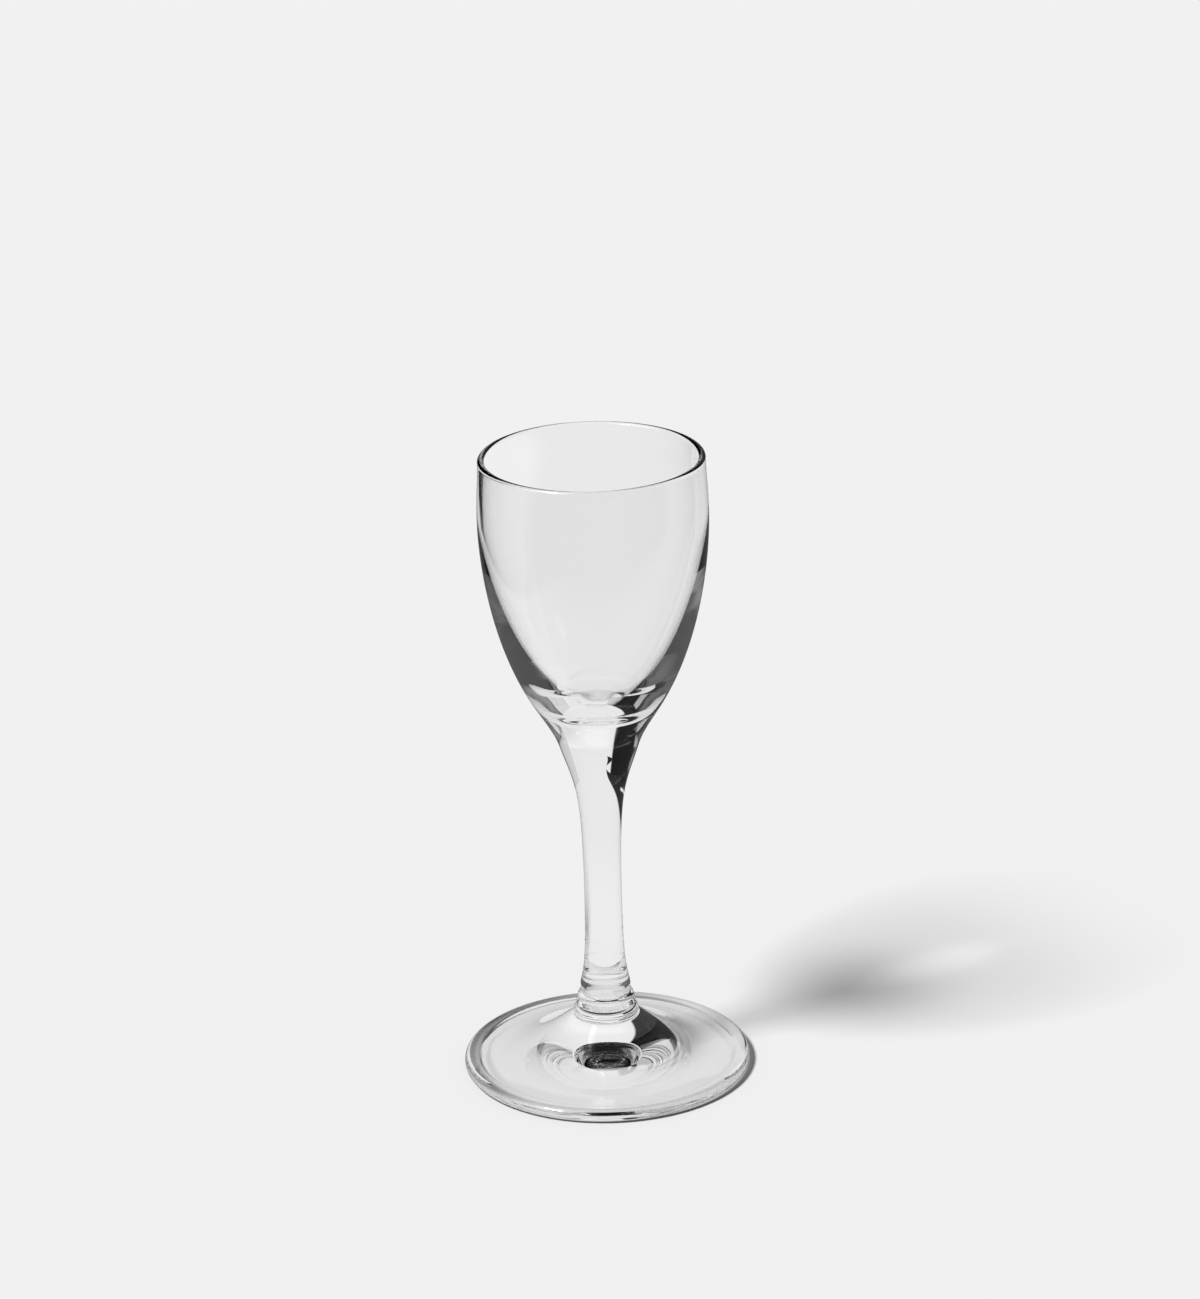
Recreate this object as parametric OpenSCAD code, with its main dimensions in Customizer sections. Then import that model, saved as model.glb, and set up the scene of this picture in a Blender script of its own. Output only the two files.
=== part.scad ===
// Cordial glass: a thick-based bowl, a drawn stem and a domed foot, fused end to end.
// Millimetres, +Z up, origin at the centre of the foot's underside.

/* [Foot] */
// Diameter of the foot at its widest line
foot_d = 56.6; // [50:0.2:70]
// Height of that widest line above the table
edge_h = 1.45; // [1:0.05:2]
// How far the rolled edge tucks in below, to the standing ring
edge_under = 2.5; // [1.4:0.1:4]
// Distance from the widest line in to the top of the rolled edge
edge_top = 2; // [1.2:0.1:3]
// Height of the rolled edge
roll_h = 2.8; // [2.6:0.05:4]
// How full the rolled edge is, 0.55 for a plain round and more for a squarer one
edge_full = 0.68; // [0.55:0.01:0.8]
// Distance from the widest line in to the groove behind the rolled edge
groove_in = 3.4; // [3.2:0.1:6]
// Height of the foot's top at that groove
groove_h = 2.3; // [1.8:0.05:2.7]
// Width of the flat standing ring
ring_w = 1.4; // [1:0.1:4]
// Rise of the hollow underside at its centre
kick_h = 3.6; // [0.4:0.1:5]
// Height of the seat on the foot where the stem is fused on
seat_h = 11; // [9:0.1:16]
// Bead of glass around the stem on that seat
weld_bead = 0.2; // [0.1:0.05:0.6]
// Rise of the foot's top beside the groove, height over radius
flat_rise = 0.06; // [0:0.01:0.15]
// Radial reach of that flat curve
flat_reach = 8; // [4:0.1:10]
// Fall of the foot's cone beside the seat, height over radius
cone_fall = 0.75; // [0.5:0.05:1.1]
// Radial reach of the cone's curve
cone_reach = 5; // [3:0.1:7]

/* [Stem] */
// Length of the stem from the foot's seat to the bowl's seat
stem_l = 55.5; // [40:0.5:80]
// Diameter at the foot
stem_base_d = 12.8; // [10:0.1:15]
// Diameter at the waist
waist_d = 7.34; // [6:0.02:9]
// Height of the waist above the foot's seat
waist_up = 26; // [20:0.5:32]
// Diameter at the bowl
stem_top_d = 14.4; // [11:0.1:17]
// Inward lean of the side at the foot, radius over height
base_lean = 0.18; // [0.1:0.01:0.25]
// Outward lean of the side at the bowl, radius over height
top_lean = 0.34; // [0.2:0.01:0.45]

/* [Bowl] */
// Height of the bowl from its seat on the stem to the rim
bowl_h = 60.5; // [50:0.5:75]
// Diameter at the widest line
bowl_d = 44.36; // [40:0.02:54]
// Depth of the widest line below the rim
belly_drop = 12.2; // [8:0.1:16]
// Diameter at the rim, over the rounded lip
rim_d = 43.5; // [40:0.1:50]
// Height of the shoulder, where the side leans out most, above the seat
shoulder_up = 9.5; // [8:0.1:12]
// Diameter at the shoulder
shoulder_d = 23.9; // [21:0.1:27]
// Outward lean of the side at the shoulder, radius over height
shoulder_lean = 0.64; // [0.5:0.01:0.75]
// Thickness of the lip, which is rounded over
lip_t = 1.4; // [1:0.05:2]
// Thickness of the wall at the widest line
wall_t = 1.2; // [0.9:0.05:2]
// Thickness of the wall at the shoulder
shoulder_t = 5; // [3:0.1:6]
// Thickness of the base between the seat and the hollow, on the axis
base_t = 9.3; // [6:0.1:10.5]
// Radial reach of the hollow's round floor
floor_reach = 4.4; // [3:0.1:6]
// Length over which the hollow's side turns into its floor
floor_turn = 2.6; // [1.5:0.1:4]

/* [Hidden] */
$fn = 96;

// Pieces that each curve of an outline is cut into
curve_steps = 16;
// Handle length of a quarter round, as a share of its radius
round_hold = 0.5523;
// Handle length of an evenly bent curve, as a share of its span
even_hold = 1 / 3;
// Handle lengths of the stem's curves, as shares of the height that each spans
base_hold = 0.39;
waist_hold_low = 0.76;
waist_hold_high = 0.71;
top_hold = 0.24;
// Handle lengths of the bowl's outside, as shares of the height that each spans
seat_hold = 0.33;
shoulder_hold_low = 0.63;
shoulder_hold_high = 0.34;
belly_hold_low = 0.21;
belly_hold_high = 0.45;

foot_r = foot_d / 2;
ring_r = foot_r - edge_under;
hollow_r = ring_r - ring_w;
stem_base_r = stem_base_d / 2;
stem_top_r = stem_top_d / 2;
waist_r = waist_d / 2;
foot_seat_r = stem_base_r + weld_bead;
waist_z = seat_h + waist_up;
bowl_z = seat_h + stem_l;
glass_h = bowl_z + bowl_h;
shoulder_z = bowl_z + shoulder_up;
belly_z = glass_h - belly_drop;
rim_r = rim_d / 2;
lip_r = lip_t / 2;
lip_z = glass_h - lip_r;

// Corners that the outlines share
foot_groove = [foot_r - groove_in, groove_h];
foot_roll = [foot_r - edge_top, roll_h];
foot_edge = [foot_r, edge_h];
foot_seat = [foot_seat_r, seat_h];
stem_waist = [waist_r, waist_z];
stem_top = [stem_top_r, bowl_z];
shoulder = [shoulder_d / 2, shoulder_z];
belly = [bowl_d / 2, belly_z];
rim = [rim_r, lip_z];

echo(glass_height = glass_h);

// Point at t on the curve c, which is its two ends and, between them, its two handles
function point(c, t) =
    let (s = 1 - t)
    c[0] * pow(s, 3) + 3 * c[1] * s * s * t + 3 * c[2] * s * t * t + c[3] * pow(t, 3);

// Direction of the curve c at t
function way(c, t) =
    let (s = 1 - t)
    (c[1] - c[0]) * s * s + 2 * (c[2] - c[1]) * s * t + (c[3] - c[2]) * t * t;

// Points along the curve c, without its last point
function along(c) = [for (i = [0 : curve_steps - 1]) point(c, i / curve_steps)];

// Point at t on the inner side of a wall of thickness w, whose outside is the curve c
function inner(c, t, w) =
    let (d = way(c, t))
    point(c, t) + [-d[1], d[0]] * w / norm(d);

// A quarter round from a, which runs along X there, to d, which runs along Y there
function round_out(a, d, hold = round_hold) =
    [a, a + [(d[0] - a[0]) * hold, 0], d - [0, (d[1] - a[1]) * hold], d];

// A quarter round from a, which runs along Y there, to d, which runs along X there
function round_in(a, d, hold = round_hold) =
    [a, a + [0, (d[1] - a[1]) * hold], d - [(d[0] - a[0]) * hold, 0], d];

// Half outline of the foot, from the hollow's centre round the rolled edge to the seat
function foot_outline() =
    let (
        centre = [0, kick_h],
        hollow = [hollow_r, 0],
        roll_w = groove_in - edge_top,
        roll_fall = roll_h - groove_h
    )
    concat(
        along([centre, centre + [hollow_r * even_hold, 0],
            hollow - even_hold * [hollow_r, -kick_h], hollow]),
        [hollow],
        along(round_out([ring_r, 0], foot_edge, edge_full)),
        along(round_in(foot_edge, foot_roll, edge_full)),
        along([foot_roll, foot_roll - [roll_w * edge_full, 0],
            foot_groove + even_hold * [roll_w, roll_fall], foot_groove]),
        along([foot_groove, foot_groove + flat_reach * [-1, flat_rise],
            foot_seat + cone_reach * [1, -cone_fall], foot_seat]),
        [foot_seat, [0, seat_h]]
    );

// Half outline of the stem, from the foot's seat past the waist to the bowl's seat
function stem_outline() =
    let (
        base = [stem_base_r, seat_h],
        low = waist_up,
        high = stem_l - waist_up
    )
    concat(
        along([base, base + low * base_hold * [-base_lean, 1],
            stem_waist - [0, low * waist_hold_low], stem_waist]),
        along([stem_waist, stem_waist + [0, high * waist_hold_high],
            stem_top - high * top_hold * [top_lean, 1], stem_top]),
        [stem_top, [0, bowl_z], [0, seat_h]]
    );

// The three curves of the bowl's outside: seat to shoulder, to widest line, to lip
function bowl_low() =
    [stem_top, stem_top + shoulder_up * seat_hold * [top_lean, 1],
        shoulder - shoulder_up * shoulder_hold_low * [shoulder_lean, 1], shoulder];
function bowl_mid() =
    let (h = belly_z - shoulder_z)
    [shoulder, shoulder + h * shoulder_hold_high * [shoulder_lean, 1],
        belly - [0, h * belly_hold_low], belly];
function bowl_high() =
    let (h = lip_z - belly_z)
    [belly, belly + [0, h * belly_hold_high], rim - [0, h * even_hold], rim];

// Wall thickness: eases from the lip to the widest line, then grows to the shoulder
function wall_high(t) = wall_t + (lip_t - wall_t) * t * t;
function wall_mid(t) = wall_t + (shoulder_t - wall_t) * pow(1 - t, 2);

// The lip's half round and the hollow, down to the centre of its floor
function bowl_inside() =
    let (
        lip_top = [rim_r - lip_r, glass_h],
        side_end = inner(bowl_mid(), 0, shoulder_t),
        side_way = way(bowl_mid(), 0),
        centre = [0, bowl_z + base_t]
    )
    concat(
        along(round_in(rim, lip_top)),
        along(round_out(lip_top, [rim_r - lip_t, lip_z])),
        [for (i = [curve_steps : -1 : 1]) let (t = i / curve_steps) inner(bowl_high(), t, wall_high(t))],
        [for (i = [curve_steps : -1 : 1]) let (t = i / curve_steps) inner(bowl_mid(), t, wall_mid(t))],
        along([side_end, side_end - side_way * floor_turn / norm(side_way),
            centre + [floor_reach, 0], centre]),
        [centre]
    );

module foot() {
    color("gainsboro") rotate_extrude() polygon(foot_outline());
}

module stem() {
    color("whitesmoke") rotate_extrude() polygon(stem_outline());
}

module bowl() {
    outside = concat(along(bowl_low()), along(bowl_mid()), along(bowl_high()));
    color("white") rotate_extrude() polygon(concat(outside, bowl_inside(), [[0, bowl_z]]));
}

foot();
stem();
bowl();
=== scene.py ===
"""Cordial glass: a bowl, a stem and a foot of clear glass, on a pale table in soft studio light."""

import math

import bpy
import numpy as np
from bpy.props import FloatProperty, FloatVectorProperty, IntProperty, PointerProperty
from mathutils import Matrix, Vector


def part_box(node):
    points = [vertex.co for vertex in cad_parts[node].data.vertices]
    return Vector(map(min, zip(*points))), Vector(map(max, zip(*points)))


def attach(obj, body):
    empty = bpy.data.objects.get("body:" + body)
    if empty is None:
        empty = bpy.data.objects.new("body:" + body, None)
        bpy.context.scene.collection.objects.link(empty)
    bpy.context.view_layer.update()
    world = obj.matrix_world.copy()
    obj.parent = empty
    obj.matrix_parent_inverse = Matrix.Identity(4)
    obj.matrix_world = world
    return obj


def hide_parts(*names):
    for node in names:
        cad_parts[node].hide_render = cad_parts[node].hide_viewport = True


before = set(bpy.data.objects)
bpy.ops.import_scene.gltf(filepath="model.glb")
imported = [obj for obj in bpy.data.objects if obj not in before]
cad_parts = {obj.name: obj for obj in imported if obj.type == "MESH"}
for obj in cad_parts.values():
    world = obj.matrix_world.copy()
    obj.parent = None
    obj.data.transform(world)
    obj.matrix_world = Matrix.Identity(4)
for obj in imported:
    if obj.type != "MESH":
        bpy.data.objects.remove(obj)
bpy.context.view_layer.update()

bl_info = {
    "name": "Cordial Glass",
    "version": (1, 0, 0),
    "blender": (4, 5, 0),
    "location": "3D View > Sidebar > Cordial Glass",
    "description": "Builds a clear cordial glass over its packed solids, with a studio stage",
    "category": "Add Mesh",
}

MM = 0.001
# Handle length of a quarter round, as a share of its radius
ROUND_HOLD = 0.5523
# Handle length of an evenly bent curve, as a share of its span
EVEN_HOLD = 1 / 3
# Handle lengths of the stem's curves, as shares of the height that each spans
BASE_HOLD = 0.39
WAIST_HOLD_LOW = 0.76
WAIST_HOLD_HIGH = 0.71
TOP_HOLD = 0.24
# Handle lengths of the bowl's outside, as shares of the height that each spans
SEAT_HOLD = 0.33
SHOULDER_HOLD_LOW = 0.63
SHOULDER_HOLD_HIGH = 0.34
BELLY_HOLD_LOW = 0.21
BELLY_HOLD_HIGH = 0.45

# Facets round the axis
FACETS = 256
# Rings along a short curve of an outline. Longer curves take a multiple.
CURVE_RINGS = 32
# Rings along each half of the lip's round
LIP_RINGS = 16
# Rings across the standing ring, across the foot's bead and seat, and across the other seats
STAND_RINGS, FOOT_SEAT_RINGS, SEAT_RINGS = 6, 4, 5
# How far a piece may stand off the solid that it replaces
FIT = 0.15 * MM
# Heights that are closer than this are the same
TOUCH = 0.01 * MM
# Material places on each piece
GLASS, SEAM = 0, 1

# How far each tool mark wanders up and down round the stem, as a share of its width
MARK_WANDER = 0.25
# How unevenly deep a tool mark is round the stem, from 0 to 0.5
MARK_UNEVEN = 0.25
# Turn from one mark's wander to the next one's, and from one's uneven depth to the next one's, in radians
WANDER_SHIFT, UNEVEN_SHIFT = 2, 1.7
# Slow waves in the foot and in the bowl. Each set has its lobes round the axis, how fast it runs outwards
# and upwards in radians a millimetre, its shift in radians and its share of the depth.
PRESS_WAVES = ((3, 1 / 3, 0, 0, 1), (7, -1 / 2, 0, 1, 0.6))
BLOW_WAVES = ((2, 0, 1 / 9, 0, 1), (5, 1, -1 / 4, 0, 0.5))
# Where the foot's waves start, as a multiple of its seat's radius
DOME_CLEAR = 1.3
# How far the waves stay clear of the foot's edge and of the lip, and how far from there they fade
EDGE_CLEAR, EDGE_FADE = 3 * MM, 6 * MM
LIP_CLEAR, LIP_FADE = 2 * MM, 6 * MM
# Height over which the bowl's waves set in above the shoulder
SHOULDER_FADE = 8 * MM

# Skin of the glass: scale of its smudges, scale of its fine waves and their stretch up the axis
PRESSED_SKIN = {"Smudge Scale": 60, "Wave Scale": 160, "Stretch": 1}
DRAWN_SKIN = {"Smudge Scale": 80, "Wave Scale": 260, "Stretch": 0.4}
BLOWN_SKIN = {"Smudge Scale": 45, "Wave Scale": 120, "Stretch": 0.6}
# Strength of the smudges' noise at which a smudge starts, and at which it is full
SMUDGE_START, SMUDGE_FULL = 0.5, 0.75
# Fine steps in the noise of the smudges and of the waves
SMUDGE_DETAIL, WAVE_DETAIL = 4, 1
# Ways to measure a place on a piece: out from the axis, and up
RADIUS, HEIGHT = (1, 1, 0), (0, 0, 1)

# Lit panels around the glass: left, right, low and high edges and softness in degrees, then brightness.
# Azimuth 0 is behind the glass and 90 on its right.
PANELS = (
    (-13, 34, -10, 35, 0.8, 0.86),
    (-8, 34, 9, 22, 4, 0.08),
    (34, 62, -10, 33, 2, 0.72),
    (62, 118, 3, 36, 16, 0.32),
    (-60, -46, 9, 33, 2, 0.5),
    (-145, -75, 12, 34, 14, 0.16),
    (120, 200, -2, 42, 12, 0.07),
    (-200, -140, -2, 42, 12, 0.07),
)
# Panels in front of the glass, which are seen only through it, from behind
FRONT_PANELS = (
    (100, 190, -10, 35, 4, 0.6),
    (-190, -100, -10, 35, 4, 0.6),
)
# The key light's softbox, as the outside of the glass mirrors it
SOFTBOX = (-148, -92, 22, 72, 3, 3)
# Faces of glass that light passes through a solid piece, and at least through both walls of the bowl
SOLID_FACES, BOWL_FACES = 2, 3

# Half the width of the table and the floor together
FLOOR_HALF = 6.0
# Softness of the pale table's left and front edges
LEFT_SOFT, FRONT_SOFT = 12 * MM, 60 * MM
# Softness of the far pale floor's round edges and of its end
FAR_SOFT, FAR_END_SOFT = 30 * MM, 40 * MM
# Where the floor in front is pale again when it is seen through the glass, and the softness there
NEAR_EDGE, NEAR_SOFT = 60 * MM, 20 * MM
# Width of the camera's sensor, in millimetres
SENSOR_WIDTH = 36
# How often light is bent or mirrored in the glass, and how often it passes straight through
GLASS_BOUNCES, STRAIGHT_BOUNCES = 22, 32

FOOT_LOW, FOOT_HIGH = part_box("foot")
STEM_LOW, STEM_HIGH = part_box("stem")
BOWL_LOW, BOWL_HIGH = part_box("bowl")


def length(name, description, millimetres):
    """A size in metres, given here in millimetres."""
    return FloatProperty(
        name=name, description=description, default=millimetres * MM, precision=5, unit="LENGTH"
    )


def share(name, description, default):
    """A plain ratio."""
    return FloatProperty(name=name, description=description, default=default, precision=3)


def angle(name, description, degrees):
    """An angle in radians, given here in degrees."""
    return FloatProperty(
        name=name, description=description, default=math.radians(degrees), subtype="ANGLE", unit="ROTATION"
    )


def grey(name, description, level):
    """A colour, given here as an even grey."""
    return FloatVectorProperty(
        name=name, description=description, size=4, subtype="COLOR", min=0, max=1,
        default=(level, level, level, 1),
    )


class FootSizes(bpy.types.PropertyGroup):
    """Sizes of the foot."""

    diameter: length("Diameter", "Diameter at the widest line", (FOOT_HIGH.x - FOOT_LOW.x) / MM)
    height: length("Height", "Height of the seat where the stem is fused on", FOOT_HIGH.z / MM)
    edge_h: length("Edge height", "Height of the widest line above the table", 1.45)
    edge_under: length("Edge tuck", "How far the rolled edge tucks in below", 2.5)
    edge_top: length("Edge top", "Distance from the widest line in to the top of the rolled edge", 2.0)
    roll_h: length("Roll height", "Height of the rolled edge", 2.8)
    edge_full: share("Edge fullness", "How full the rolled edge is, 0.55 round and more squarer", 0.68)
    groove_in: length("Groove", "Distance from the widest line in to the groove", 3.4)
    groove_h: length("Groove height", "Height of the top at the groove", 2.3)
    ring_w: length("Standing ring", "Width of the flat ring that it stands on", 1.4)
    kick_h: length("Hollow", "Rise of the hollow underside at its centre", 3.6)
    weld_bead: length("Weld bead", "Bead of glass around the stem on the seat", 0.2)
    flat_rise: share("Flat rise", "Rise of the top beside the groove, height over radius", 0.06)
    flat_reach: length("Flat reach", "Radial reach of the flat curve", 8.0)
    cone_fall: share("Cone fall", "Fall of the cone beside the seat, height over radius", 0.75)
    cone_reach: length("Cone reach", "Radial reach of the cone's curve", 5.0)
    press_wave: length("Press wave", "Depth of the slow waves in the top, left by pressing", 0.012)
    shade_in: length("Edge shade start", "Distance from the widest line in to where the edge shades", 1.0)
    shade_full: length("Edge shade full", "Distance from the widest line in to where it shades most", 0.2)
    shade_back: length("Edge shade back", "How far back of the axis the edge's shade is centred", 0.4)


class StemSizes(bpy.types.PropertyGroup):
    """Sizes of the stem."""

    base_d: length("Base diameter", "Diameter at the foot", 12.8)
    waist_d: length("Waist diameter", "Diameter at the waist", 7.34)
    waist_up: length("Waist height", "Height of the waist above the foot's seat", 26.0)
    top_d: length("Top diameter", "Diameter at the bowl", (STEM_HIGH.x - STEM_LOW.x) / MM)
    base_lean: share("Base lean", "Inward lean of the side at the foot", 0.18)
    top_lean: share("Top lean", "Outward lean of the side at the bowl", 0.34)
    collar: length("Collar", "How far the stem swells out just above the foot", 0.25)
    collar_up: length("Collar height", "Height of that swelling above the foot's seat", 0.95)
    collar_w: length("Collar width", "Half width of that swelling", 0.6)
    neck: length("Neck", "How far the tools pinched the stem in above the collar", 0.33)
    neck_up: length("Neck height", "Height of that pinch above the foot's seat", 5.3)
    neck_w: length("Neck width", "Half width of that pinch", 0.9)
    mark_count: IntProperty(
        name="Tool marks", description="Rings that the tools cut in the lower stem", default=7
    )
    mark_gap: length("Tool mark gap", "Height of the first tool mark above the foot's seat", 0.62)
    mark_growth: share("Tool mark growth", "How much wider each gap between marks is than the last", 1.25)
    mark_width: share("Tool mark width", "Half width of each mark as a share of the gap below it", 0.25)
    mark_depth: length("Tool mark depth", "Depth of the lowest ring, less for each one above it", 0.05)
    mark_fade: share("Tool mark fade", "Depth of each ring as a share of the one below", 0.78)


class BowlSizes(bpy.types.PropertyGroup):
    """Sizes of the bowl."""

    diameter: length("Diameter", "Diameter at the widest line", (BOWL_HIGH.x - BOWL_LOW.x) / MM)
    belly_drop: length("Belly drop", "Depth of the widest line below the rim", 12.2)
    rim_d: length("Rim diameter", "Diameter at the rim, over the rounded lip", 43.5)
    shoulder_up: length("Shoulder height", "Height of the shoulder above the seat", 9.5)
    shoulder_d: length("Shoulder diameter", "Diameter at the shoulder", 23.9)
    shoulder_lean: share("Shoulder lean", "Outward lean of the side at the shoulder", 0.64)
    lip_t: length("Lip", "Thickness of the rounded lip", 1.4)
    wall_t: length("Wall", "Thickness of the wall at the widest line", 1.2)
    shoulder_t: length("Shoulder wall", "Thickness of the wall at the shoulder", 5.0)
    base_t: length("Base", "Thickness of the base below the hollow, on the axis", 9.3)
    floor_reach: length("Floor reach", "Radial reach of the hollow's round floor", 4.4)
    floor_turn: length("Floor turn", "Length over which the hollow's side turns into its floor", 2.6)
    blow_wave: length("Blow wave", "Depth of the slow waves in the wall, left by blowing", 0.012)
    shade_up: length("Base shade", "Height above the shoulder up to which the thick base shades", 6.0)


class GlassFinish(bpy.types.PropertyGroup):
    """Finish of the clear glass."""

    colour: grey("Colour", "Tint of the glass", 1)
    ior: share("Index of refraction", "How strongly the glass bends light", 1.5)
    smudge: share("Smudges", "Roughness of the most handled patches", 0.02)
    ripple: share("Ripple", "Strength of the fine waves in the fire-polished skin", 0.006)
    ripple_h: length("Ripple height", "Height of those waves at full strength", 0.1)
    shade_face: share("Shade, face on", "Share of a lamp's light that passes a face it meets head on", 0.97)
    shade_slant: share("Shade, slanting", "Share that passes a face it grazes", 0.2)
    shade_from: share("Shade, slant from", "Slant from which less passes, 0 head on and 1 grazing", 0.45)
    shade_edge: share("Shade, foot's edge", "Share that passes the foot's rolled edge", 0.15)
    shade_stem: share("Shade, stem", "Share that passes the solid stem", 0.88)
    shade_base: share("Shade, bowl's base", "Share that passes the bowl's thick base", 0.62)


class StageSettings(bpy.types.PropertyGroup):
    """Camera, light and table."""

    table: grey("Table", "Colour of the pale table", 0.88)
    floor: grey("Floor", "Colour of the dark floor beside the table, which shows only in the glass", 0.02)
    table_left: length("Table left", "How far the pale table runs to the left of the glass", 137)
    table_front: length("Table front", "How far the pale table runs in front of the glass", 112)
    table_turn: share("Table turn", "How far the table's left side runs out, for each length back", 0.112)
    far: length("Far floor", "Distance at which the floor seen through the glass is pale again", 570)
    far_width: length("Far floor width", "Width of that pale ring of floor", 320)
    far_turn: share(
        "Far floor turn", "How far that ring's end runs out to the left, for each length back", 0.85
    )
    room: share("Room", "Brightness of the dim room around the table", 0.008)
    # Painted shade: no filter is on the camera; what the outer face of the glass mirrors is painted darker,
    # to this share, in the table's colour and in the studio's brightness
    mirrored: share("Mirrored", "Share that a lens filter keeps of what the glass mirrors outside", 0.12)
    fill: share("Fill", "Brightness of the even light that falls on the table from all sides", 0.1)
    key_power: FloatProperty(name="Key light", description="Strength of the key light", default=3.55)
    key_elevation: angle("Key elevation", "Height of the key light above the table", 52.5)
    key_azimuth: angle("Key azimuth", "Turn of the key light from the camera, left is negative", -58)
    key_size: angle("Key size", "Width of the key light as seen from the glass", 13)
    elevation: angle("Camera elevation", "Height of the camera's view above the table", 20.7815)
    roll: angle("Camera roll", "Turn of the camera about its view", 1.5394)
    distance: length("Camera distance", "Distance from the camera to the point it looks at", 947.17)
    aim: length("Camera aim", "Height of that point above the table", 87.64)
    aside: length("Camera aside", "How far that point is to the right of the glass's axis", 0.6791)
    lens: FloatProperty(
        name="Lens", description="Focal length of the camera", default=136.235, unit="CAMERA"
    )


def curve_point(c, t):
    """Points at t on the curve c, which is its two ends and, between them, its two handles."""
    t = np.asarray(t)[:, None]
    s = 1 - t
    return c[0] * s**3 + 3 * c[1] * s * s * t + 3 * c[2] * s * t * t + c[3] * t**3


def curve_way(c, t):
    """Unit directions of the curve c at t."""
    t = np.asarray(t)[:, None]
    s = 1 - t
    d = (c[1] - c[0]) * s * s + 2 * (c[2] - c[1]) * s * t + (c[3] - c[2]) * t * t
    return d / np.linalg.norm(d, axis=1)[:, None]


def along(c, rings=CURVE_RINGS):
    """Points along the curve c, without its last point."""
    return curve_point(c, np.arange(rings) / rings)


def inner_wall(c, t, thickness):
    """Points at t on the inner side of a wall whose outside is the curve c."""
    d = curve_way(c, t)
    return curve_point(c, t) + np.stack([-d[:, 1], d[:, 0]], 1) * thickness[:, None]


def at(r, z):
    """A point of an outline: its radius and its height."""
    return np.array([r, z], float)


def round_out(a, d, hold=ROUND_HOLD):
    """A quarter round from a, level there, to d, upright there."""
    return [a, a + at((d[0] - a[0]) * hold, 0), d - at(0, (d[1] - a[1]) * hold), d]


def round_in(a, d, hold=ROUND_HOLD):
    """A quarter round from a, upright there, to d, level there."""
    return [a, a + at(0, (d[1] - a[1]) * hold), d - at((d[0] - a[0]) * hold, 0), d]


def run(start, end, rings):
    """Points on a straight run, without its end."""
    t = (np.arange(rings) / rings)[:, None]
    return start * (1 - t) + end * t


def fade_in(place, start, distance):
    """0 up to start, and 1 from the given distance past it."""
    return np.clip((place - start) / distance, 0, 1)


def swell(place, centre, half_width):
    """A soft round hump, 1 at its centre."""
    return np.exp(-(((place - centre) / half_width) ** 2))


def slow_waves(sets, r, z, turn):
    """Crossed sets of waves, added up."""
    return sum(
        part * np.sin(lobes * turn + (out * r + up * z) / MM + shift)
        for lobes, out, up, shift, part in sets
    )


def turn_piece(name, node, outline, first_seam, last_seam, wave):
    """A closed piece turned from an outline that starts and ends on the axis.

    Rings up to first_seam and from last_seam lie on a fused seat and take the seam's material.
    wave gives how far each ring's points stand out, from their radius, height and turn.
    """
    inside = outline[1:-1]
    rings = len(inside)
    turn = 2 * math.pi * np.arange(FACETS) / FACETS
    r = inside[:, :1] + wave(inside[:, :1], inside[:, 1:], turn[None, :])
    z = np.repeat(inside[:, 1:], FACETS, axis=1)
    points = np.stack([r * np.cos(turn), r * np.sin(turn), z], -1).reshape(-1, 3)
    poles = np.array([[0, 0, outline[0][1]], [0, 0, outline[-1][1]]])
    start, end = rings * FACETS, rings * FACETS + 1
    faces, places = [], []
    for k in range(FACETS):
        faces.append((start, (k + 1) % FACETS, k))
        places.append(SEAM if first_seam else GLASS)
    for i in range(rings - 1):
        seam = i < first_seam or i >= last_seam
        low, high = i * FACETS, (i + 1) * FACETS
        for k in range(FACETS):
            n = (k + 1) % FACETS
            faces.append((low + k, low + n, high + n, high + k))
            places.append(SEAM if seam else GLASS)
    top = (rings - 1) * FACETS
    for k in range(FACETS):
        faces.append((top + k, top + (k + 1) % FACETS, end))
        places.append(SEAM if last_seam < rings else GLASS)
    mesh = bpy.data.meshes.new(name)
    mesh.from_pydata(np.vstack([points, poles]).tolist(), [], faces)
    mesh.polygons.foreach_set("material_index", places)
    mesh.shade_smooth()
    edges = np.empty(len(mesh.edges) * 2, np.int32)
    mesh.edges.foreach_get("vertices", edges)
    ring_of = edges.reshape(-1, 2) // FACETS
    sharp = np.zeros(len(mesh.edges), bool)
    for ring in (first_seam, last_seam):
        if 0 < ring < rings:
            sharp |= (ring_of == ring).all(1)
    mesh.attributes.new("sharp_edge", "BOOLEAN", "EDGE").data.foreach_set("value", sharp)
    if mesh.validate():
        raise RuntimeError(f"{name}: the turned mesh has faulty faces")
    piece = bpy.data.objects.new(name, mesh)
    bpy.context.scene.collection.objects.link(piece)
    corners = np.array([piece.bound_box[0], piece.bound_box[6]])
    off = np.abs(corners - np.array([list(c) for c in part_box(node)])).max()
    if off > FIT:
        raise RuntimeError(f"{name}: stands {off / MM:.2f} mm off the solid {node}")
    return piece


def put(tree, socket, term):
    """Feeds a socket with a number, or with another node's output."""
    if isinstance(term, bpy.types.NodeSocket):
        tree.links.new(term, socket)
    else:
        socket.default_value = term


def calculate(tree, operation, *terms):
    """The result of a Math node."""
    node = tree.nodes.new("ShaderNodeMath")
    node.operation = operation
    for socket, term in zip(node.inputs, terms):
        put(tree, socket, term)
    return node.outputs[0]


def ramp(tree, value, start, end, first=0, last=1, curve="SMOOTHSTEP"):
    """A value's way from first, where it is at start, to last, where it is at end."""
    node = tree.nodes.new("ShaderNodeMapRange")
    node.interpolation_type = curve
    terms = {"Value": value, "From Min": start, "From Max": end, "To Min": first, "To Max": last}
    for socket, term in terms.items():
        put(tree, node.inputs[socket], term)
    return node.outputs["Result"]


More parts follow.
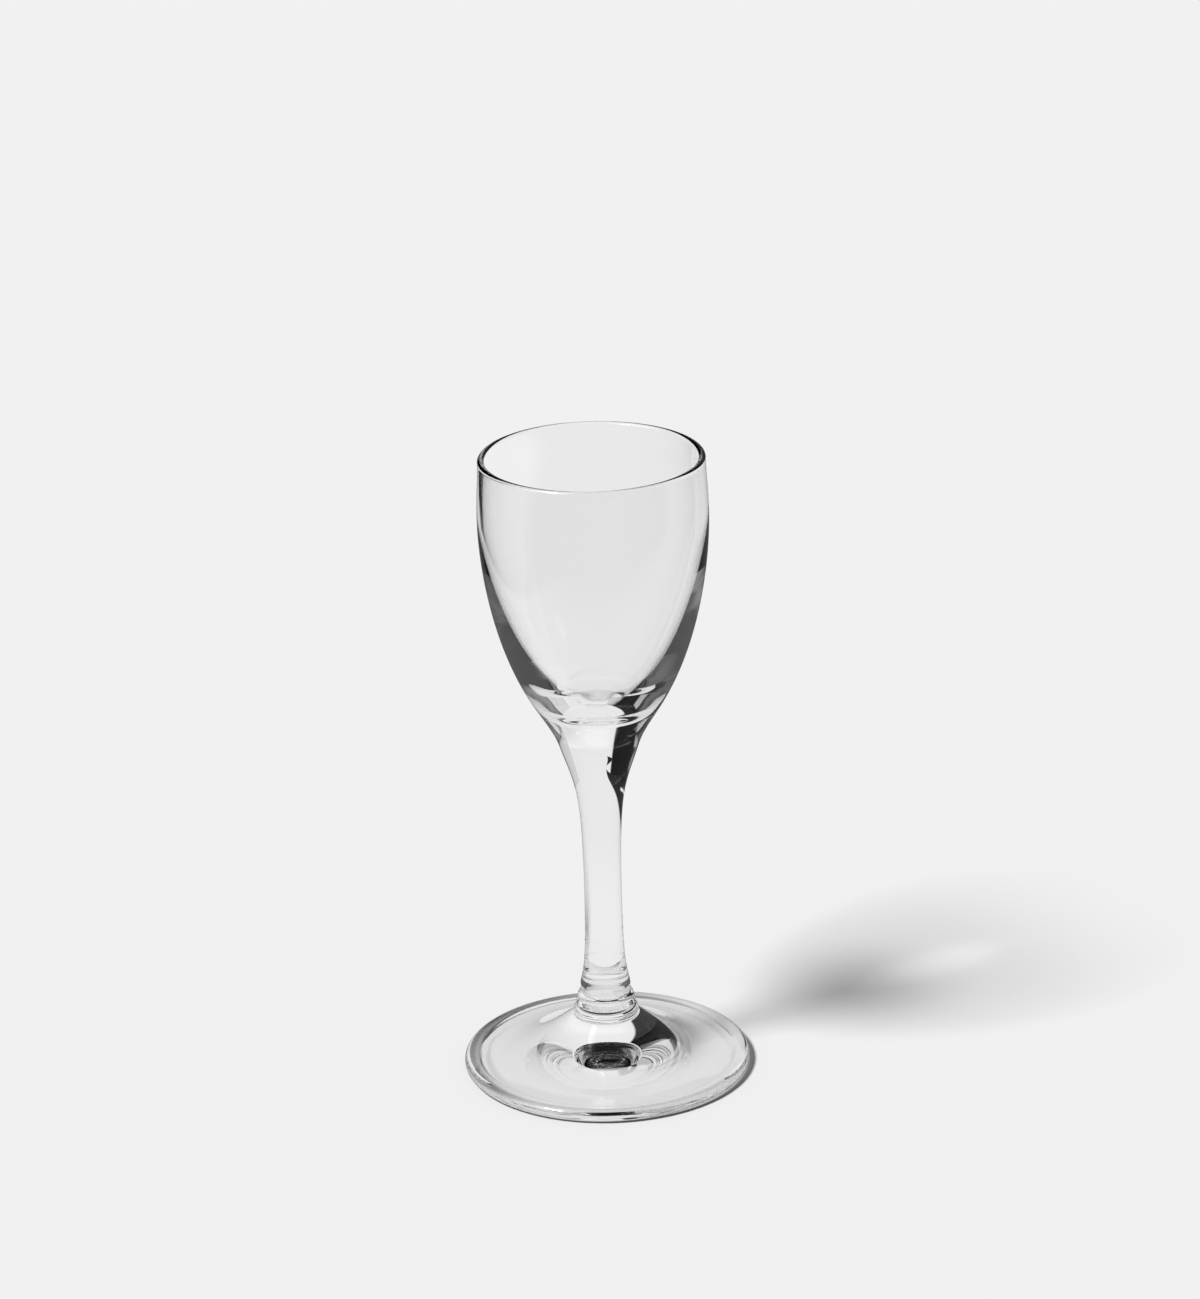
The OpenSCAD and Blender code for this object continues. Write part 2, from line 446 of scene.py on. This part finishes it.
def choose(tree, factor, first, second):
    """The first value where the factor is 0, and the second where it is 1."""
    node = tree.nodes.new("ShaderNodeMix")
    for socket, term in {"Factor": factor, "A": first, "B": second}.items():
        put(tree, node.inputs[socket], term)
    return node.outputs["Result"]


def fire_polish_group():
    """Shader group for the skin of fire-polished glass: faint smudges and slow fine waves."""
    name = "Fire-polished skin"
    if name in bpy.data.node_groups:
        return bpy.data.node_groups[name]
    group = bpy.data.node_groups.new(name, "ShaderNodeTree")
    for socket in ("Smudge", "Smudge Scale", "Wave Scale", "Stretch"):
        group.interface.new_socket(socket, in_out="INPUT", socket_type="NodeSocketFloat")
    for socket in ("Roughness", "Height"):
        group.interface.new_socket(socket, in_out="OUTPUT", socket_type="NodeSocketFloat")
    new, link = group.nodes.new, group.links.new
    given, result, place = new("NodeGroupInput"), new("NodeGroupOutput"), new("ShaderNodeTexCoord")

    def noise(vector, scale, detail):
        node = new("ShaderNodeTexNoise")
        node.inputs["Detail"].default_value = detail
        link(vector, node.inputs["Vector"])
        link(given.outputs[scale], node.inputs["Scale"])
        return node.outputs["Fac"]

    stretch, drawn = new("ShaderNodeCombineXYZ"), new("ShaderNodeVectorMath")
    stretch.inputs["X"].default_value = stretch.inputs["Y"].default_value = 1
    link(given.outputs["Stretch"], stretch.inputs["Z"])
    drawn.operation = "MULTIPLY"
    link(place.outputs["Object"], drawn.inputs[0])
    link(stretch.outputs[0], drawn.inputs[1])
    smudges = noise(place.outputs["Object"], "Smudge Scale", SMUDGE_DETAIL)
    patches = ramp(group, smudges, SMUDGE_START, SMUDGE_FULL, 0, given.outputs["Smudge"], "LINEAR")
    link(patches, result.inputs["Roughness"])
    link(noise(drawn.outputs[0], "Wave Scale", WAVE_DETAIL), result.inputs["Height"])
    return group


def clear_glass(name, finish, skin, measure, thin, thick, passes, aside=(0, 0, 0)):
    """Clear glass that bends what is behind it, and lets the key light through to the table.

    Where the glass is solid it bends the light away. So all of it passes at the place thin and the
    share passes at the place thick, both measured out or up, on the piece moved by aside.
    """
    material = bpy.data.materials.new(name)
    material.use_nodes = True
    tree = material.node_tree
    tree.nodes.clear()
    new, link = tree.nodes.new, tree.links.new
    glass, polish, bump = new("ShaderNodeBsdfPrincipled"), new("ShaderNodeGroup"), new("ShaderNodeBump")
    glass.inputs["Base Color"].default_value = finish.colour
    glass.inputs["IOR"].default_value = finish.ior
    glass.inputs["Transmission Weight"].default_value = 1
    polish.node_tree = fire_polish_group()
    polish.inputs["Smudge"].default_value = finish.smudge
    for socket, value in skin.items():
        polish.inputs[socket].default_value = value
    link(polish.outputs["Roughness"], glass.inputs["Roughness"])
    bump.inputs["Strength"].default_value = finish.ripple
    bump.inputs["Distance"].default_value = finish.ripple_h
    link(polish.outputs["Height"], bump.inputs["Height"])
    link(bump.outputs["Normal"], glass.inputs["Normal"])
    # Light from the lamps passes straight through, less where it meets the glass at a slant
    path, slant = new("ShaderNodeLightPath"), new("ShaderNodeLayerWeight")
    straight = calculate(tree, "MAXIMUM", path.outputs["Is Shadow Ray"], path.outputs["Is Diffuse Ray"])
    faced = ramp(
        tree, slant.outputs["Facing"], finish.shade_from, 1, finish.shade_face, finish.shade_slant, "LINEAR"
    )
    place, part, reach = new("ShaderNodeTexCoord"), new("ShaderNodeVectorMath"), new("ShaderNodeVectorMath")
    part.operation, reach.operation = "MULTIPLY_ADD", "LENGTH"
    link(place.outputs["Object"], part.inputs[0])
    part.inputs[1].default_value = measure
    part.inputs[2].default_value = aside
    link(part.outputs["Vector"], reach.inputs[0])
    unbent = ramp(tree, reach.outputs["Value"], thin, thick, 1, passes)
    through, mix = new("ShaderNodeBsdfTransparent"), new("ShaderNodeMixShader")
    link(calculate(tree, "MULTIPLY", faced, unbent), through.inputs["Color"])
    link(straight, mix.inputs["Fac"])
    link(glass.outputs[0], mix.inputs[1])
    link(through.outputs[0], mix.inputs[2])
    link(mix.outputs[0], new("ShaderNodeOutputMaterial").inputs["Surface"])
    return material


def fused_seam():
    """The fused face between two pieces, inside the glass, where nothing shows."""
    name = "fused_seam"
    if name in bpy.data.materials:
        return bpy.data.materials[name]
    material = bpy.data.materials.new(name)
    material.use_nodes = True
    tree = material.node_tree
    tree.nodes.clear()
    output = tree.nodes.new("ShaderNodeOutputMaterial")
    through = tree.nodes.new("ShaderNodeBsdfTransparent")
    tree.links.new(through.outputs[0], output.inputs["Surface"])
    return material


def finish_piece(piece, node, material):
    """Gives a piece its materials and its place in the frame."""
    piece.data.materials.append(material)
    piece.data.materials.append(fused_seam())
    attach(piece, "root")
    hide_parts(node)


class CORDIAL_OT_foot(bpy.types.Operator):
    """Turn the domed foot with its rolled edge, standing ring and hollow underside."""

    bl_idname = "cordial.foot"
    bl_label = "Foot"
    bl_options = {"REGISTER", "UNDO"}

    def execute(self, context):
        scene = context.scene
        s, stem, finish = scene.cordial_foot, scene.cordial_stem, scene.cordial_finish
        edge = at(s.diameter / 2, s.edge_h)
        ring = at(s.diameter / 2 - s.edge_under, 0)
        hollow = at(ring[0] - s.ring_w, 0)
        roll = at(s.diameter / 2 - s.edge_top, s.roll_h)
        groove = at(s.diameter / 2 - s.groove_in, s.groove_h)
        seat = at(stem.base_d / 2 + s.weld_bead, s.height)
        weld = at(stem.base_d / 2, s.height)
        low_centre, top_centre = at(0, s.kick_h), at(0, s.height)
        roll_w, roll_fall = s.groove_in - s.edge_top, s.roll_h - s.groove_h
        under = [low_centre, low_centre + at(hollow[0] * EVEN_HOLD, 0),
                 hollow - EVEN_HOLD * at(hollow[0], -s.kick_h), hollow]
        inner_roll = [roll, roll - at(roll_w * s.edge_full, 0),
                      groove + EVEN_HOLD * at(roll_w, roll_fall), groove]
        dome = [groove, groove + s.flat_reach * at(-1, s.flat_rise),
                seat + s.cone_reach * at(1, -s.cone_fall), seat]
        outside = [
            along(under, 2 * CURVE_RINGS),
            run(hollow, ring, STAND_RINGS),
            along(round_out(ring, edge, s.edge_full)),
            along(round_in(edge, roll, s.edge_full)),
            along(inner_roll),
            along(dome, 3 * CURVE_RINGS),
            run(seat, weld, FOOT_SEAT_RINGS),
        ]
        rings = sum(len(part) for part in outside)
        outline = np.vstack([*outside, run(weld, top_centre, FOOT_SEAT_RINGS), [top_centre]])

        def press_waves(r, z, turn):
            dome = fade_in(r, DOME_CLEAR * seat[0], seat[0]) * fade_in(edge[0] - r, EDGE_CLEAR, EDGE_FADE)
            return s.press_wave * dome * slow_waves(PRESS_WAVES, r, z, turn)

        piece = turn_piece("foot_glass", "foot", outline, 0, rings - 1, press_waves)
        material = clear_glass(
            "pressed_glass", finish, PRESSED_SKIN, RADIUS, edge[0] - s.shade_in, edge[0] - s.shade_full,
            finish.shade_edge, (0, -s.shade_back, 0),
        )
        finish_piece(piece, "foot", material)
        return {"FINISHED"}


class CORDIAL_OT_stem(bpy.types.Operator):
    """Turn the drawn stem, with the rings that the tools left near the foot."""

    bl_idname = "cordial.stem"
    bl_label = "Stem"
    bl_options = {"REGISTER", "UNDO"}

    def execute(self, context):
        s, finish = context.scene.cordial_stem, context.scene.cordial_finish
        base_z, top_z = STEM_LOW.z, STEM_HIGH.z
        base, top = at(s.base_d / 2, base_z), at(s.top_d / 2, top_z)
        waist = at(s.waist_d / 2, base_z + s.waist_up)
        low, high = s.waist_up, top_z - base_z - s.waist_up
        lower = [base, base + low * BASE_HOLD * at(-s.base_lean, 1),
                 waist - at(0, low * WAIST_HOLD_LOW), waist]
        upper = [waist, waist + at(0, high * WAIST_HOLD_HIGH),
                 top - high * TOP_HOLD * at(s.top_lean, 1), top]
        foot_seat = run(at(0, base_z), base, SEAT_RINGS)
        bowl_seat = run(top, at(0, top_z), SEAT_RINGS)
        side = [along(lower, 10 * CURVE_RINGS), along(upper, 3 * CURVE_RINGS)]
        outline = np.vstack([foot_seat, *side, bowl_seat, [at(0, top_z)]])
        first = len(foot_seat) - 1
        last = first + sum(len(part) for part in side)
        height, gap, marks = base_z, s.mark_gap, []
        for i in range(s.mark_count):
            height += gap
            marks.append((height, s.mark_width * gap, s.mark_depth * s.mark_fade**i))
            gap *= s.mark_growth

        def tool_marks(r, z, turn):
            out = s.collar * swell(z, base_z + s.collar_up, s.collar_w)
            out = out - s.neck * swell(z, base_z + s.neck_up, s.neck_w)
            for i, (height, width, depth) in enumerate(marks):
                wander = MARK_WANDER * width * np.sin(turn + WANDER_SHIFT * i)
                uneven = 1 - MARK_UNEVEN + MARK_UNEVEN * np.sin(2 * turn + UNEVEN_SHIFT * i)
                out = out - depth * uneven * np.exp(-np.abs(z - height - wander) / width)
            return out * ((z > base_z + TOUCH) & (z < top_z - TOUCH))

        piece = turn_piece("stem_glass", "stem", outline, first, last, tool_marks)
        material = clear_glass(
            "drawn_glass", finish, DRAWN_SKIN, HEIGHT, base_z, waist[1], finish.shade_stem
        )
        finish_piece(piece, "stem", material)
        return {"FINISHED"}


class CORDIAL_OT_bowl(bpy.types.Operator):
    """Turn the blown bowl, with its thick base and its rounded lip."""

    bl_idname = "cordial.bowl"
    bl_label = "Bowl"
    bl_options = {"REGISTER", "UNDO"}

    def execute(self, context):
        scene = context.scene
        s, stem, finish = scene.cordial_bowl, scene.cordial_stem, scene.cordial_finish
        seat_z, top_z = BOWL_LOW.z, BOWL_HIGH.z
        lip_r = s.lip_t / 2
        seat = at(stem.top_d / 2, seat_z)
        shoulder = at(s.shoulder_d / 2, seat_z + s.shoulder_up)
        belly = at(s.diameter / 2, top_z - s.belly_drop)
        rim = at(s.rim_d / 2, top_z - lip_r)
        lip_top = at(s.rim_d / 2 - lip_r, top_z)
        lip_in = at(s.rim_d / 2 - s.lip_t, top_z - lip_r)
        lean = at(s.shoulder_lean, 1)
        mid_h, high_h = belly[1] - shoulder[1], rim[1] - belly[1]
        low = [seat, seat + s.shoulder_up * SEAT_HOLD * at(stem.top_lean, 1),
               shoulder - s.shoulder_up * SHOULDER_HOLD_LOW * lean, shoulder]
        mid = [shoulder, shoulder + mid_h * SHOULDER_HOLD_HIGH * lean,
               belly - at(0, mid_h * BELLY_HOLD_LOW), belly]
        high = [belly, belly + at(0, high_h * BELLY_HOLD_HIGH), rim - at(0, high_h * EVEN_HOLD), rim]
        t_high = np.arange(CURVE_RINGS, 0, -1) / CURVE_RINGS
        t_mid = np.arange(3 * CURVE_RINGS, 0, -1) / (3 * CURVE_RINGS)
        inner_high = inner_wall(high, t_high, s.wall_t + (s.lip_t - s.wall_t) * t_high**2)
        inner_mid = inner_wall(mid, t_mid, s.wall_t + (s.shoulder_t - s.wall_t) * (1 - t_mid) ** 2)
        side_end = inner_wall(mid, np.zeros(1), np.array([s.shoulder_t]))[0]
        centre = at(0, seat_z + s.base_t)
        floor = [side_end, side_end - lean / np.linalg.norm(lean) * s.floor_turn,
                 centre + at(s.floor_reach, 0), centre]
        stem_seat = run(at(0, seat_z), seat, SEAT_RINGS)
        outside = [along(low, 2 * CURVE_RINGS), along(mid, 3 * CURVE_RINGS), along(high)]
        lip = [along(round_in(rim, lip_top), LIP_RINGS), along(round_out(lip_top, lip_in), LIP_RINGS)]
        inside = [inner_high, inner_mid, along(floor, 2 * CURVE_RINGS)]
        outline = np.vstack([stem_seat, *outside, *lip, *inside, [centre]])

        def blow_waves(r, z, turn):
            wall = fade_in(z, shoulder[1], SHOULDER_FADE) * fade_in(top_z - z, LIP_CLEAR, LIP_FADE)
            return s.blow_wave * wall * slow_waves(BLOW_WAVES, r, z, turn)

        piece = turn_piece("bowl_glass", "bowl", outline, len(stem_seat) - 1, len(outline), blow_waves)
        material = clear_glass(
            "blown_glass", finish, BLOWN_SKIN, HEIGHT, shoulder[1] + s.shade_up, shoulder[1],
            finish.shade_base,
        )
        finish_piece(piece, "bowl", material)
        return {"FINISHED"}


def panel_group():
    """Shader group for a lit panel of the studio, as seen from the glass: where it is, with soft edges."""
    group = bpy.data.node_groups.new("Lit panel", "ShaderNodeTree")
    for socket in ("Azimuth", "Elevation", "Left", "Right", "Low", "High", "Soft"):
        group.interface.new_socket(socket, in_out="INPUT", socket_type="NodeSocketFloat")
    group.interface.new_socket("Mask", in_out="OUTPUT", socket_type="NodeSocketFloat")
    given, result = group.nodes.new("NodeGroupInput").outputs, group.nodes.new("NodeGroupOutput")

    def past(value, edge):
        start, end = (calculate(group, side, given[edge], given["Soft"]) for side in ("SUBTRACT", "ADD"))
        return ramp(group, given[value], start, end)

    across = calculate(group, "SUBTRACT", past("Azimuth", "Left"), past("Azimuth", "Right"))
    upright = calculate(group, "SUBTRACT", past("Elevation", "Low"), past("Elevation", "High"))
    group.links.new(calculate(group, "MULTIPLY", across, upright), result.inputs["Mask"])
    return group


def none_of(tree, count):
    """1 where a count of bounces, which is a whole number, is 0."""
    return calculate(tree, "LESS_THAN", count, 0.5)


def at_least(tree, count, least):
    """1 where a count of bounces is at least this."""
    return calculate(tree, "GREATER_THAN", count, least - 0.5)


def outer_mirror(tree):
    """1 for what the glass mirrors in its outer face."""
    path = tree.nodes.new("ShaderNodeLightPath").outputs
    outside = none_of(tree, path["Transmission Depth"])
    return calculate(tree, "MULTIPLY", outside, at_least(tree, path["Glossy Depth"], 1))


def painted_mirror_shade(tree, kept):
    """1, and less for what the glass mirrors in its outer face, which is painted darker to the share kept.
    """
    return calculate(tree, "MULTIPLY_ADD", outer_mirror(tree), kept - 1, 1)


def unmirrored(tree, faces):
    """1 for what is seen through at least this many faces of glass, and mirrored in none."""
    path = tree.nodes.new("ShaderNodeLightPath").outputs
    bounces = calculate(tree, "ADD", path["Glossy Depth"], path["Diffuse Depth"])
    enough = at_least(tree, path["Transmission Depth"], faces)
    return calculate(tree, "MULTIPLY", none_of(tree, bounces), enough)


def seen_straight(tree):
    """1 for what the camera sees, directly or straight through both sides of the bowl."""
    path = tree.nodes.new("ShaderNodeLightPath").outputs
    return calculate(tree, "MAXIMUM", path["Is Camera Ray"], unmirrored(tree, BOWL_FACES))


class CORDIAL_OT_stage(bpy.types.Operator):
    """Set up the pale table, the studio light and the camera."""

    bl_idname = "cordial.stage"
    bl_label = "Stage"
    bl_options = {"REGISTER", "UNDO"}

    def table(self, s):
        """A pale table on a dark floor.

        The camera sees all of it as pale, so the floor shows only as a dark shape in the glass. What
        is seen through a solid piece in front, or far off on the left, is pale as well.
        """
        mesh = bpy.data.meshes.new("table")
        corners = [(x * FLOOR_HALF, y * FLOOR_HALF, 0) for x, y in ((-1, -1), (1, -1), (1, 1), (-1, 1))]
        mesh.from_pydata(corners, [], [(0, 1, 2, 3)])
        table = bpy.data.objects.new("table", mesh)
        bpy.context.scene.collection.objects.link(table)
        material = bpy.data.materials.new("table_top")
        material.use_nodes = True
        tree = material.node_tree
        new, link = tree.nodes.new, tree.links.new
        surface = tree.nodes["Principled BSDF"]
        surface.inputs["Roughness"].default_value = 1
        surface.inputs["Specular IOR Level"].default_value = 0
        place, part = new("ShaderNodeTexCoord"), new("ShaderNodeSeparateXYZ")
        reach = new("ShaderNodeVectorMath")
        reach.operation = "LENGTH"
        link(place.outputs["Object"], part.inputs[0])
        link(place.outputs["Object"], reach.inputs[0])
        right, back, distance = part.outputs["X"], part.outputs["Y"], reach.outputs["Value"]

        def beyond(value, edge, soft):
            return ramp(tree, value, edge - soft, edge + soft)

        def short_of(value, edge, soft):
            return ramp(tree, value, edge + soft, edge - soft)

        leaning = calculate(tree, "MULTIPLY_ADD", back, s.table_turn, right)
        from_left = beyond(leaning, -s.table_left, LEFT_SOFT)
        from_front = beyond(back, -s.table_front, FRONT_SOFT)
        lit = calculate(tree, "MULTIPLY", from_left, from_front)
        ring_start = beyond(distance, s.far, FAR_SOFT)
        ring_stop = beyond(distance, s.far + s.far_width, FAR_SOFT)
        ring = calculate(tree, "SUBTRACT", ring_start, ring_stop)
        far_end = calculate(tree, "MULTIPLY_ADD", back, s.far_turn, right)
        far_left = calculate(tree, "MULTIPLY", ring, short_of(far_end, 0, FAR_END_SOFT))
        around = calculate(tree, "MAXIMUM", far_left, short_of(back, -NEAR_EDGE, NEAR_SOFT))
        through = calculate(tree, "MULTIPLY", around, unmirrored(tree, SOLID_FACES))
        seen = calculate(tree, "MAXIMUM", seen_straight(tree), through)
        pale = calculate(tree, "MAXIMUM", seen, lit)
        colour = new("ShaderNodeValToRGB")
        colour.color_ramp.elements[0].color = s.floor
        colour.color_ramp.elements[1].color = s.table
        # Painted shade: the table is painted darker where the outer face of the glass mirrors it
        link(calculate(tree, "MULTIPLY", pale, painted_mirror_shade(tree, s.mirrored)), colour.inputs["Fac"])
        link(colour.outputs["Color"], surface.inputs["Base Color"])
        mesh.materials.append(material)

    def light(self, s):
        """A key light from the front left, and lit panels all round, which show only in the glass."""
        lamp = bpy.data.lights.new("key", "SUN")
        lamp.energy = s.key_power
        lamp.angle = s.key_size
        key = bpy.data.objects.new("key", lamp)
        # The lamp leaves no glints inside the glass
        key.visible_transmission = False
        bpy.context.scene.collection.objects.link(key)
        flat = math.cos(s.key_elevation)
        left_right, front_back = math.sin(s.key_azimuth) * flat, -math.cos(s.key_azimuth) * flat
        key.rotation_mode = "QUATERNION"
        towards = Vector((left_right, front_back, math.sin(s.key_elevation)))
        key.rotation_quaternion = towards.to_track_quat("Z", "Y")
        world = bpy.data.worlds.new("studio")
        bpy.context.scene.world = world
        world.use_nodes = True
        world.cycles.sampling_method = "NONE"
        tree = world.node_tree
        tree.nodes.clear()
        new, link = tree.nodes.new, tree.links.new
        output, sky = new("ShaderNodeOutputWorld"), new("ShaderNodeBackground")
        sky.inputs["Color"].default_value = (1, 1, 1, 1)
        link(sky.outputs[0], output.inputs["Surface"])
        place, part = new("ShaderNodeTexCoord"), new("ShaderNodeSeparateXYZ")
        link(place.outputs["Generated"], part.inputs[0])
        azimuth = calculate(tree, "ARCTAN2", part.outputs["X"], part.outputs["Y"])
        elevation = calculate(tree, "ARCSINE", part.outputs["Z"])
        group = panel_group()

        def lit_panel(panel):
            *edges, power = panel
            node = new("ShaderNodeGroup")
            node.node_tree = group
            link(azimuth, node.inputs["Azimuth"])
            link(elevation, node.inputs["Elevation"])
            for socket, degrees in zip(("Left", "Right", "Low", "High", "Soft"), edges):
                node.inputs[socket].default_value = math.radians(degrees)
            return calculate(tree, "MULTIPLY", node.outputs["Mask"], power)

        through = unmirrored(tree, SOLID_FACES)
        total = s.room
        for panel in PANELS:
            total = calculate(tree, "ADD", lit_panel(panel), total)
        for panel in FRONT_PANELS:
            total = calculate(tree, "MULTIPLY_ADD", lit_panel(panel), through, total)
        # Painted shade: the studio's panels are painted darker where the outer face of the glass mirrors
        # them
        dimmed = calculate(tree, "MULTIPLY", total, painted_mirror_shade(tree, s.mirrored))
        softbox = calculate(tree, "MULTIPLY", lit_panel(SOFTBOX), outer_mirror(tree))
        in_glass = calculate(tree, "ADD", dimmed, softbox)
        seen = choose(tree, seen_straight(tree), in_glass, s.table[0])
        on_table = new("ShaderNodeLightPath").outputs["Is Diffuse Ray"]
        link(choose(tree, on_table, seen, s.fill), sky.inputs["Strength"])

    def camera(self, s):
        """The photograph's view."""
        data = bpy.data.cameras.new("camera")
        camera = bpy.data.objects.new("camera", data)
        bpy.context.scene.collection.objects.link(camera)
        data.sensor_width = SENSOR_WIDTH
        data.lens = s.lens
        ahead = Vector((0, math.cos(s.elevation), -math.sin(s.elevation)))
        right, up = Vector((1, 0, 0)), Vector((0, math.sin(s.elevation), math.cos(s.elevation)))
        side = right * math.cos(s.roll) - up * math.sin(s.roll)
        top = up * math.cos(s.roll) + right * math.sin(s.roll)
        place = Vector((s.aside, 0, s.aim)) - ahead * s.distance
        camera.matrix_world = Matrix(
            [[side[i], top[i], -ahead[i], place[i]] for i in range(3)] + [[0, 0, 0, 1]]
        )
        bpy.context.scene.camera = camera

    def execute(self, context):
        s = context.scene.cordial_stage
        self.table(s)
        self.light(s)
        self.camera(s)
        context.scene.view_settings.view_transform = "Standard"
        light_paths = context.scene.cycles
        light_paths.max_bounces = GLASS_BOUNCES
        light_paths.transmission_bounces = GLASS_BOUNCES
        light_paths.glossy_bounces = GLASS_BOUNCES
        light_paths.transparent_max_bounces = STRAIGHT_BOUNCES
        return {"FINISHED"}


class CORDIAL_PT_panel(bpy.types.Panel):
    """Lists the glass's pieces and their sizes."""

    bl_idname = "CORDIAL_PT_panel"
    bl_label = "Cordial Glass"
    bl_space_type = "VIEW_3D"
    bl_region_type = "UI"
    bl_category = "Cordial Glass"

    def draw(self, context):
        for group in GROUPS:
            box = self.layout.box()
            if group in STEPS:
                box.operator(STEPS[group])
            else:
                box.label(text="Glass finish")
            settings = getattr(context.scene, group)
            for name in settings.__annotations__:
                box.prop(settings, name)


GROUPS = {
    "cordial_finish": GlassFinish,
    "cordial_foot": FootSizes,
    "cordial_stem": StemSizes,
    "cordial_bowl": BowlSizes,
    "cordial_stage": StageSettings,
}
STEPS = {
    "cordial_foot": "cordial.foot",
    "cordial_stem": "cordial.stem",
    "cordial_bowl": "cordial.bowl",
    "cordial_stage": "cordial.stage",
}
CLASSES = (
    *GROUPS.values(),
    CORDIAL_OT_foot,
    CORDIAL_OT_stem,
    CORDIAL_OT_bowl,
    CORDIAL_OT_stage,
    CORDIAL_PT_panel,
)


def register():
    for cls in CLASSES:
        bpy.utils.register_class(cls)
    for name, cls in GROUPS.items():
        setattr(bpy.types.Scene, name, PointerProperty(type=cls))


def unregister():
    for name in GROUPS:
        delattr(bpy.types.Scene, name)
    for cls in reversed(CLASSES):
        bpy.utils.unregister_class(cls)


def main():
    register()
    bpy.ops.cordial.foot()
    bpy.ops.cordial.stem()
    bpy.ops.cordial.bowl()
    bpy.ops.cordial.stage()


if __name__ == "__main__":
    main()
